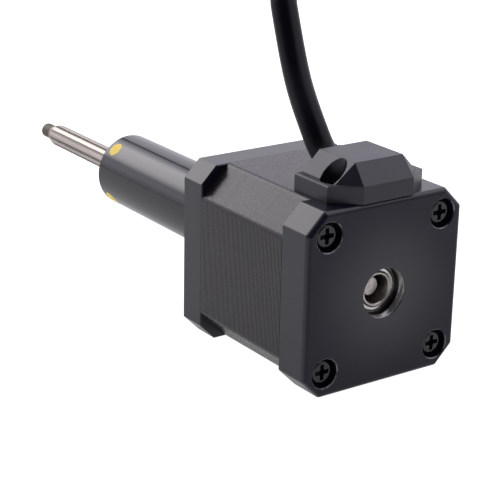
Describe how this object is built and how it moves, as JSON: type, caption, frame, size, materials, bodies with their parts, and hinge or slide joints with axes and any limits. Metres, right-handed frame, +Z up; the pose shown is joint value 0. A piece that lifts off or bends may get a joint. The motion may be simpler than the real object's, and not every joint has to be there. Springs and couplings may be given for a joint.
{
  "type": "stepper motor with lead screw",
  "caption": "Square-framed captive linear stepper motor: a nut in the rotor drives a lead screw that pushes a splined shaft in and out of a long black guide sleeve.",
  "frame": {"origin": "where the motor axis crosses the front mounting face", "axes": "-Y out of the front along the output shaft, +Z up through the cable cover, +X to the right seen from the front"},
  "size_m": [0.0424, 0.1546, 0.0924],
  "materials": {
    "housing_black": "satin black finish on die-cast end covers",
    "screw_black": "black oxide",
    "sleeve_black": "smooth black anodised, fine turning marks",
    "bush_yellow": "moulded bearing plastic, matte",
    "shaft_steel": "drawn and ground stainless steel",
    "screw_steel": "rolled stainless thread",
    "collar_steel": "turned",
    "hub_steel": "turned",
    "nut_bronze": "turned bronze",
    "rotor_steel": "stamped and ground laminations",
    "magnet": "sintered, plated",
    "bearing_steel": "ground bearing steel",
    "cage_steel": "pressed sheet",
    "spring_steel": "spring strip",
    "stator_steel": "stamped laminations, bare edges",
    "bobbin_plastic": "moulded",
    "coil_copper": "enamelled winding wire",
    "pin_brass": "tinned",
    "cover_plastic": "moulded, fine texture",
    "grommet_rubber": "moulded",
    "jacket_rubber": "extruded, semi-matte",
    "lead_red": "extruded insulation",
    "lead_blue": "extruded insulation",
    "lead_green": "extruded insulation",
    "lead_black": "extruded insulation",
    "bare_copper": "tinned strands"
  },
  "bodies": {
    "housing": {"front_flange": "housing_black", "rear_cover": "housing_black", "housing_screws": "screw_black", "sleeve": "sleeve_black", "guide_bush": "bush_yellow", "front_bearing_outer_ring": "bearing_steel", "front_bearing_shields": "cage_steel", "rear_bearing_outer_ring": "bearing_steel", "rear_bearing_shields": "cage_steel", "wave_spring": "spring_steel", "stator_core": "stator_steel", "bobbin_front": "bobbin_plastic", "bobbin_rear": "bobbin_plastic", "phase_a_coils": "coil_copper", "phase_b_coils": "coil_copper", "terminal_pins": "pin_brass", "cable_cover": "cover_plastic", "cable_cover_screws": "screw_black", "cable_grommet": "grommet_rubber", "cable_jacket": "jacket_rubber", "lead_red": "lead_red", "lead_blue": "lead_blue", "lead_green": "lead_green", "lead_black": "lead_black", "stripped_ends": "bare_copper"},
    "rotor": {"rotor_shaft": "hub_steel", "rotor_nut": "nut_bronze", "rotor_core_front": "rotor_steel", "rotor_core_rear": "rotor_steel", "rotor_magnet": "magnet", "front_bearing_inner_ring": "bearing_steel", "rear_bearing_inner_ring": "bearing_steel"},
    "screw": {"lead_screw": "screw_steel", "output_shaft": "shaft_steel", "stop_collar": "collar_steel"},
    "front_cage": {"front_bearing_balls": "bearing_steel", "front_bearing_cage": "cage_steel"},
    "rear_cage": {"rear_bearing_balls": "bearing_steel", "rear_bearing_cage": "cage_steel"}
  },
  "joints": [
    {"name": "rotor_spin", "type": "hinge", "parent": "housing", "child": "rotor", "pos_m": [0, 0.02285, 0], "axis": [0, 1, 0], "range_deg": [-1710, 450]},
    {"name": "screw_slide", "type": "slide", "parent": "housing", "child": "screw", "axis": [0, -1, 0], "range_m": [-0.038, 0.01]},
    {"name": "front_cage_spin", "type": "hinge", "parent": "housing", "child": "front_cage", "pos_m": [0, 0.0049, 0], "axis": [0, 1, 0], "range_deg": [-684.1, 180.1]},
    {"name": "rear_cage_spin", "type": "hinge", "parent": "housing", "child": "rear_cage", "pos_m": [0, 0.0422, 0], "axis": [0, 1, 0], "range_deg": [-684.1, 180.1]}
  ],
  "couplings": [
    {"joint": "screw_slide", "follows": "rotor_spin", "m_per_rad": 0.0012732},
    {"joint": "front_cage_spin", "follows": "rotor_spin", "ratio": 0.4},
    {"joint": "rear_cage_spin", "follows": "rotor_spin", "ratio": 0.4}
  ]
}
